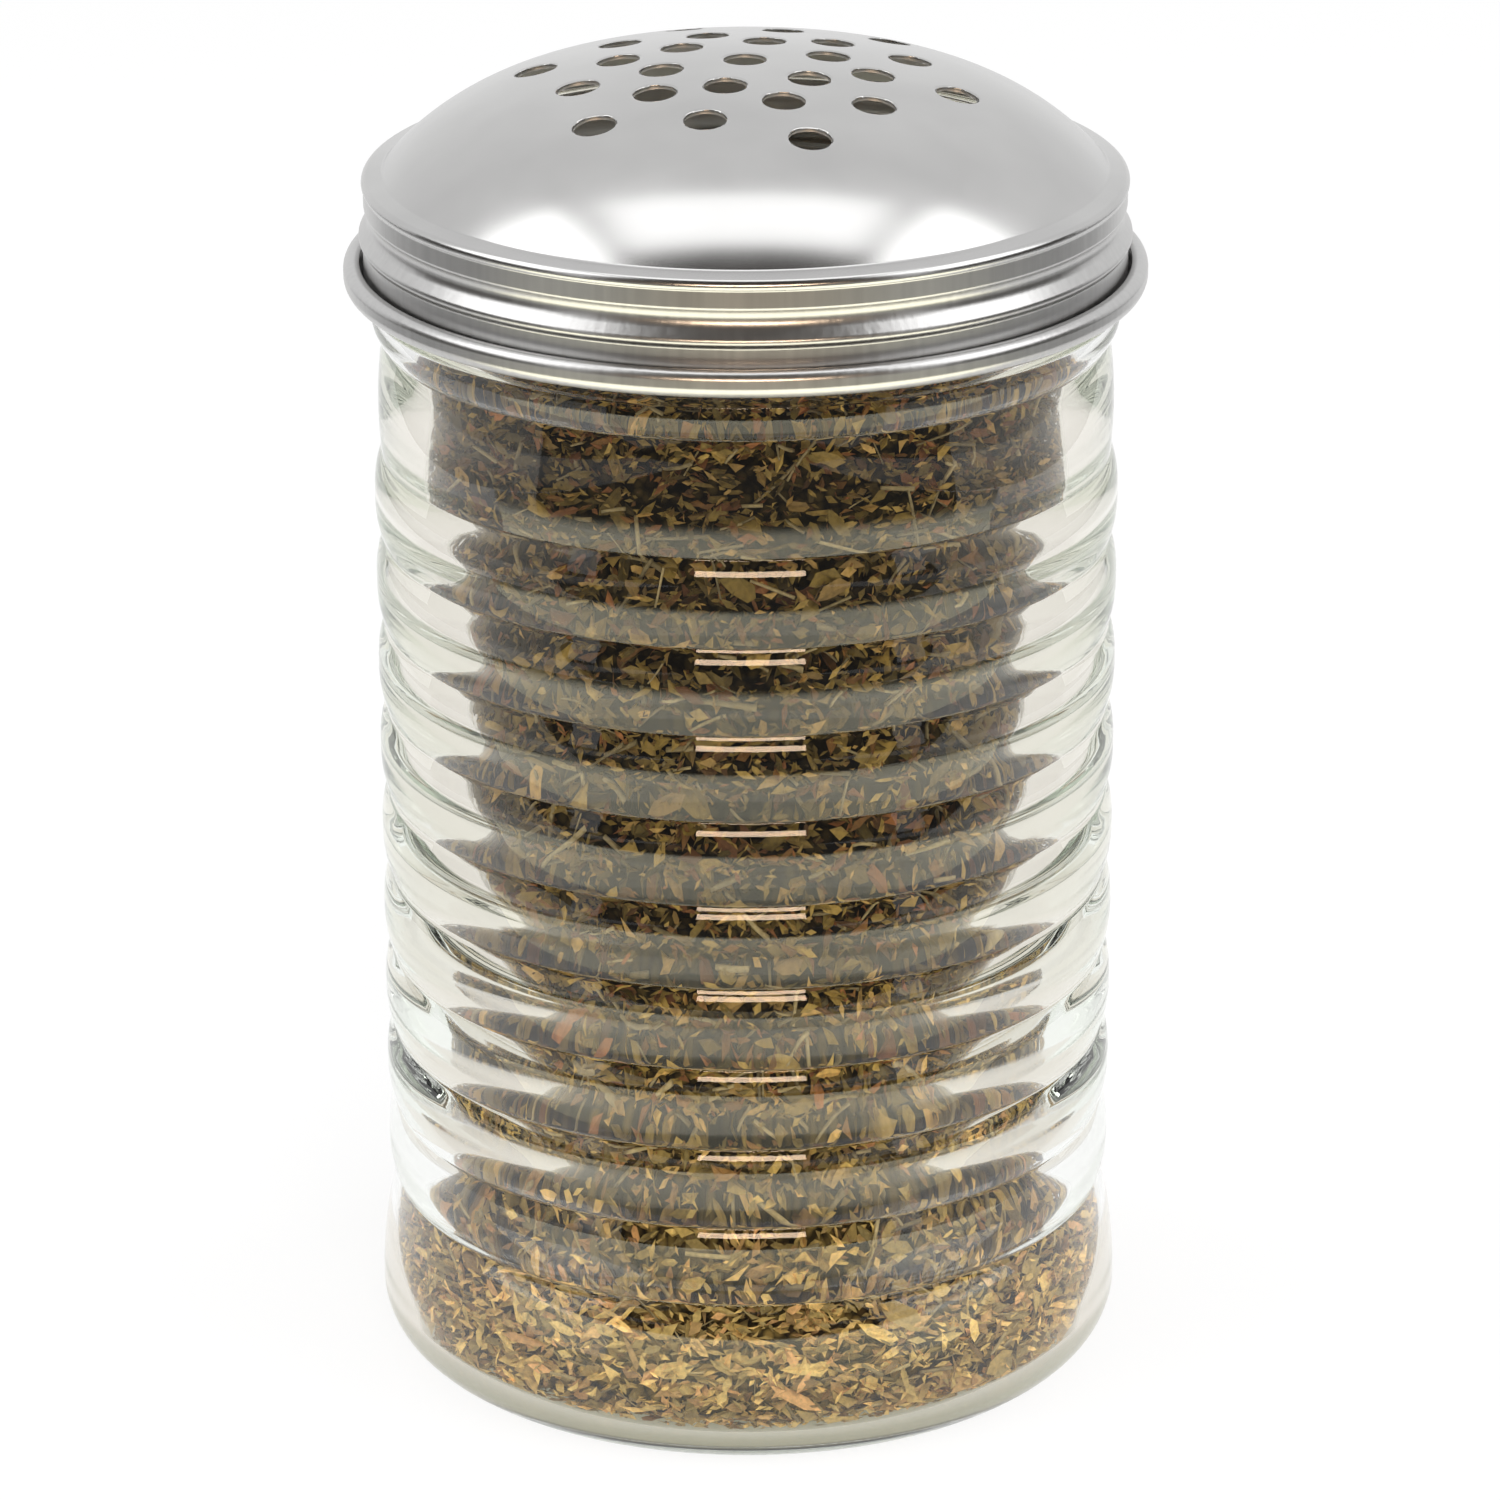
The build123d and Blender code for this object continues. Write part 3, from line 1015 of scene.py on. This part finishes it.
def make_world():
    """A white room that lights the jar weakly and shows as plain white."""
    world = bpy.data.worlds.new("studio")
    bpy.context.scene.world = world
    graph = Graph(world)
    lighting = graph.nodes["Background"]
    set_inputs(lighting, {"Color": WHITE, "Strength": world_level})
    seen = graph.add("ShaderNodeBackground", {"Color": WHITE})
    choice = graph.add("ShaderNodeMixShader")
    graph.link(seen_directly(graph), "Value", choice, "Fac")
    graph.link(lighting, "Background", choice, 1)
    graph.link(seen, "Background", choice, 2)
    graph.link(choice, "Shader", graph.nodes["World Output"], "Surface")


def rectangle(name, width, depth, material):
    """A flat mesh of this size round its own middle."""
    mesh = bpy.data.meshes.new(name)
    x, y = width / 2, depth / 2
    mesh.from_pydata([(-x, -y, 0), (x, -y, 0), (x, y, 0), (-x, y, 0)], [], [(0, 1, 2, 3)])
    mesh.materials.append(material)
    return mesh


def floor_colour(graph):
    """White, but beige near the jar and dark under its foot where the glass shows the floor."""
    place = graph.add("ShaderNodeTexCoord")
    distance = graph.add("ShaderNodeVectorMath", operation="LENGTH")
    near = graph.add("ShaderNodeMapRange", {
        "From Min": beige_near, "From Max": beige_far, "To Min": 1.0, "To Max": beige_far_share,
    })
    under = graph.add("ShaderNodeMapRange", {
        "From Min": foot_shade_full, "From Max": foot_shade_end, "To Min": 1.0, "To Max": 0.0,
    })
    path = graph.add("ShaderNodeLightPath")
    share = graph.add("ShaderNodeMath", operation="MULTIPLY")
    beige = graph.add("ShaderNodeMix", {"A": (*floor_beige, 1), "B": (*foot_shade, 1)}, data_type="RGBA")
    colour = graph.add("ShaderNodeMix", {"A": WHITE}, data_type="RGBA")
    graph.link(place, "Object", distance, 0)
    graph.link(distance, "Value", near, "Value")
    graph.link(distance, "Value", under, "Value")
    graph.link(under, "Result", beige, "Factor")
    graph.link(near, "Result", share, 0)
    graph.link(path, "Is Transmission Ray", share, 1)
    graph.link(share, "Value", colour, "Factor")
    graph.link(beige, "Result", colour, "B")
    return colour


def make_floor():
    """A white floor that stays white to the camera and keeps a soft shadow."""
    material = bpy.data.materials.new("floor_white")
    graph = Graph(material)
    paint = graph.nodes["Principled BSDF"]
    set_inputs(paint, {"Base Color": (*floor_paint, 1), "Roughness": 0.9, "Specular IOR Level": 0.0})
    white = graph.add("ShaderNodeEmission", {"Strength": floor_light})
    share = graph.add("ShaderNodeMath", {1: floor_whiteness}, operation="MULTIPLY")
    choice = graph.add("ShaderNodeMixShader")
    graph.link(floor_colour(graph), "Result", white, "Color")
    graph.link(seen_directly(graph), "Value", share, 0)
    graph.link(share, "Value", choice, "Fac")
    graph.link(paint, "BSDF", choice, 1)
    graph.link(white, "Emission", choice, 2)
    graph.link(choice, "Shader", graph.nodes["Material Output"], "Surface")
    floor = bpy.data.objects.new("floor", rectangle("floor", 2 * floor_reach, 2 * floor_reach, material))
    bpy.context.scene.collection.objects.link(floor)


def make_card(name, place, size, turn, colour, in_gloss=True, through_glass=True):
    """A card that only metal and glass show, like the cards round a product in a studio."""
    material = bpy.data.materials.new(name)
    graph = Graph(material)
    glow = graph.add("ShaderNodeEmission", {"Color": (*colour, 1)})
    graph.link(glow, "Emission", graph.nodes["Material Output"], "Surface")
    card = bpy.data.objects.new(name, rectangle(name, *size, material))
    card.location = place
    card.rotation_euler = turn
    card.visible_camera = card.visible_diffuse = card.visible_shadow = False
    card.visible_glossy = in_gloss
    card.visible_transmission = through_glass
    bpy.context.scene.collection.objects.link(card)
    return card


def fade_card(card, far, levels):
    """Dim a card away from the jar: each level is a share of the far distance and a brightness."""
    graph = Graph(card.active_material)
    place = graph.add("ShaderNodeNewGeometry")
    reach = graph.add("ShaderNodeVectorMath", operation="LENGTH")
    share = graph.add("ShaderNodeMapRange", {"From Max": far})
    ramp = graph.add("ShaderNodeFloatCurve")
    curve = ramp.mapping.curves[0]
    curve.points[0].location, curve.points[1].location = levels[0], levels[-1]
    for level in levels[1:-1]:
        curve.points.new(*level)
    ramp.mapping.use_clip = False
    ramp.mapping.update()
    graph.link(place, "Position", reach, 0)
    graph.link(reach, "Value", share, "Value")
    graph.link(share, "Result", ramp, "Value")
    graph.link(ramp, "Value", graph.nodes["Emission"], "Strength")


def make_cards():
    """A dark room and table in front, a window, a bright sweep near the jar, and paper at the sides."""
    make_card("front_room", (0, -0.95, 0.95), (1.9, 2.5), FACING_JAR, room_colour)
    make_card("front_table", (0, -0.65, 0.0005), (1.9, 0.84), LYING, table_colour)
    sweep = make_card(
        "front_sweep", (0, -0.175, 0.001), (0.6, 0.25), LYING, sweep_colour, through_glass=False)
    fade_card(sweep, sweep_far, sweep_levels)
    make_card("front_shade", (0, -0.1575, 0.0015), (1.9, 0.145), LYING, table_colour, in_gloss=False)
    make_card(
        "warm_window", (0.02, -0.94, 0.27), (0.55, 0.13), FACING_JAR, window_colour, through_glass=False)
    make_card("front_flag", (0, -0.42, 1.25), (1.2, 0.35), LYING, room_colour, through_glass=False)
    for side in (-1, 1):
        paper = make_card(
            "side_paper", (side * 0.425, -0.2, 0.002), (0.25, 1.4), LYING, side_colour, through_glass=False)
        fade_card(paper, paper_far, paper_levels)
        make_card(
            "side_far", (side * 0.9, -0.2, 0.002), (0.7, 1.4), LYING, table_colour, through_glass=False)
        make_card(
            "side_room", (side * 1.25, -0.2, 0.25), (1.4, 0.5), FACING_ACROSS, room_colour,
            through_glass=False)


def make_softbox(name, place, width, depth, power):
    """A rectangular lamp that is turned towards the jar."""
    lamp = bpy.data.lights.new(name, "AREA")
    lamp.shape = "RECTANGLE"
    lamp.size, lamp.size_y = width, depth
    lamp.energy = power
    softbox = bpy.data.objects.new(name, lamp)
    bpy.context.scene.collection.objects.link(softbox)
    softbox.location = place
    softbox.rotation_mode = "QUATERNION"
    softbox.rotation_quaternion = (lamp_aim - Vector(place)).to_track_quat("-Z", "Y")
    return softbox


def make_stage():
    """The studio: world, floor, cards and lamps."""
    bpy.context.scene.view_settings.view_transform = "Standard"
    make_world()
    make_floor()
    make_cards()
    for side in (-1, 1):
        make_softbox("side_softbox", (side * 0.95, -0.15, 0.95), 0.9, 0.9, side_power)
    make_softbox("top_softbox", (0, -0.02, 1.15), 0.9, 0.5, top_power)
    key = make_softbox("key_softbox", (0.2, -0.75, 0.95), 0.5, 0.4, key_power)
    key.visible_glossy = key.visible_transmission = False


make_jar(glass_material())
herbs = leaf_material()
make_flakes("herb_leaves", herbs, seed=7, count=leaf_count, rim=6, usual_length=1.6, spread=0.4)
make_flakes("herb_scraps", herbs, seed=9, count=scrap_count, rim=4, usual_length=1.35, spread=0.35)
make_flakes("herb_crumbs", herbs, seed=8, count=crumb_count, rim=4, usual_length=1.0, spread=0.35)
make_stems(herbs)
make_core(dust_and_shade_material())
make_lid(steel_material())
make_stage()
make_camera()

# Light runs along inside the thick glass for many bounces before it leaves
path_limits = bpy.context.scene.cycles
path_limits.max_bounces = path_limits.glossy_bounces = path_limits.transmission_bounces = BOUNCE_LIMIT

bpy.context.view_layer.update()
